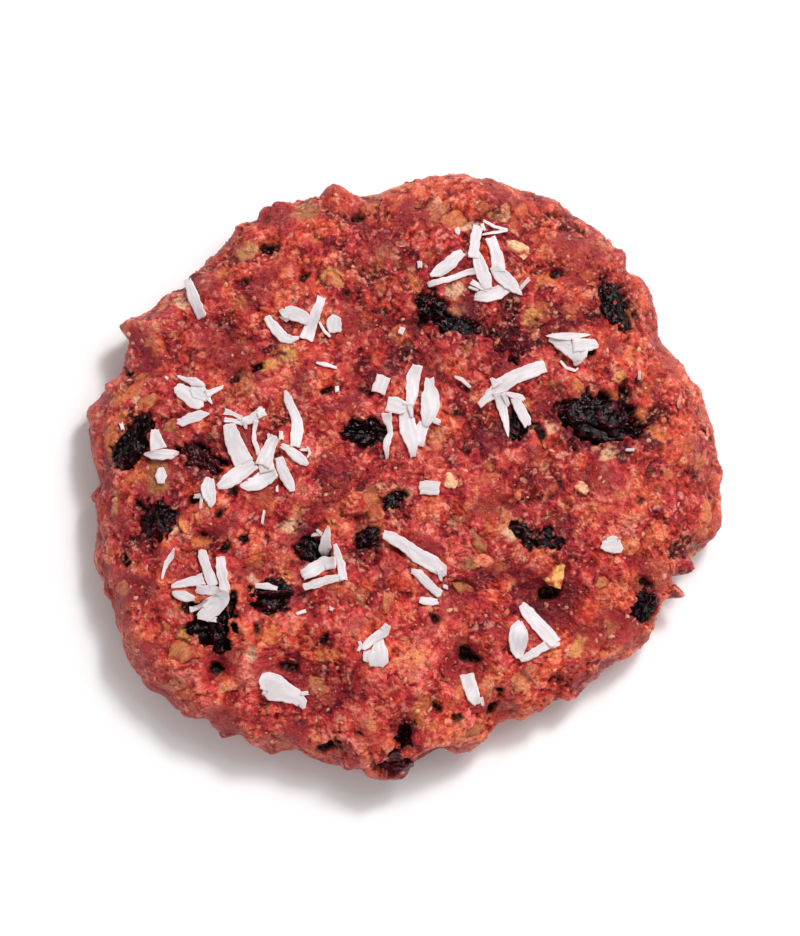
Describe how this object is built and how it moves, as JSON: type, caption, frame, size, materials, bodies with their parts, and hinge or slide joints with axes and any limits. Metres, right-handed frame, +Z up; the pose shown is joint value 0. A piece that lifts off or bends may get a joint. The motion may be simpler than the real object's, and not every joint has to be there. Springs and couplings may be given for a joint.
{
  "type": "berry cookie",
  "caption": "Thick round cookie of craggy pink-red dough with dried berries, nut chips and heaps of coconut strips.",
  "frame": {"origin": "middle of the bounding box, on the flat underside", "axes": "+Z up out of the topping side, +Y towards the picture's top edge, +X towards its right edge"},
  "size_m": [0.0851, 0.0818, 0.014],
  "materials": {
    "dough": "moist, crumbly",
    "dried_berry": "wrinkled, sticky gloss",
    "nut": "satin",
    "coconut": "satin, slightly translucent"
  },
  "bodies": {
    "root": {"dough": "dough", "dried_berry_01": "dried_berry", "dried_berry_02": "dried_berry", "dried_berry_03": "dried_berry", "dried_berry_04": "dried_berry", "dried_berry_05": "dried_berry", "dried_berry_06": "dried_berry", "dried_berry_07": "dried_berry", "dried_berry_08": "dried_berry", "dried_berry_09": "dried_berry", "dried_berry_10": "dried_berry", "dried_berry_11": "dried_berry", "dried_berry_12": "dried_berry", "dried_berry_13": "dried_berry", "dried_berry_14": "dried_berry", "dried_berry_15": "dried_berry", "dried_berry_16": "dried_berry", "dried_berry_17": "dried_berry", "dried_berry_18": "dried_berry", "dried_berry_19": "dried_berry", "dried_berry_20": "dried_berry", "nut_chip_01": "nut", "nut_chip_02": "nut", "nut_chip_03": "nut", "nut_chip_04": "nut", "nut_chip_05": "nut", "nut_chip_06": "nut", "nut_chip_07": "nut", "nut_chip_08": "nut", "nut_chip_09": "nut", "nut_chip_10": "nut", "nut_chip_11": "nut", "nut_chip_12": "nut", "nut_chip_13": "nut", "nut_chip_14": "nut", "nut_chip_15": "nut", "nut_chip_16": "nut"}
  },
  "joints": []
}
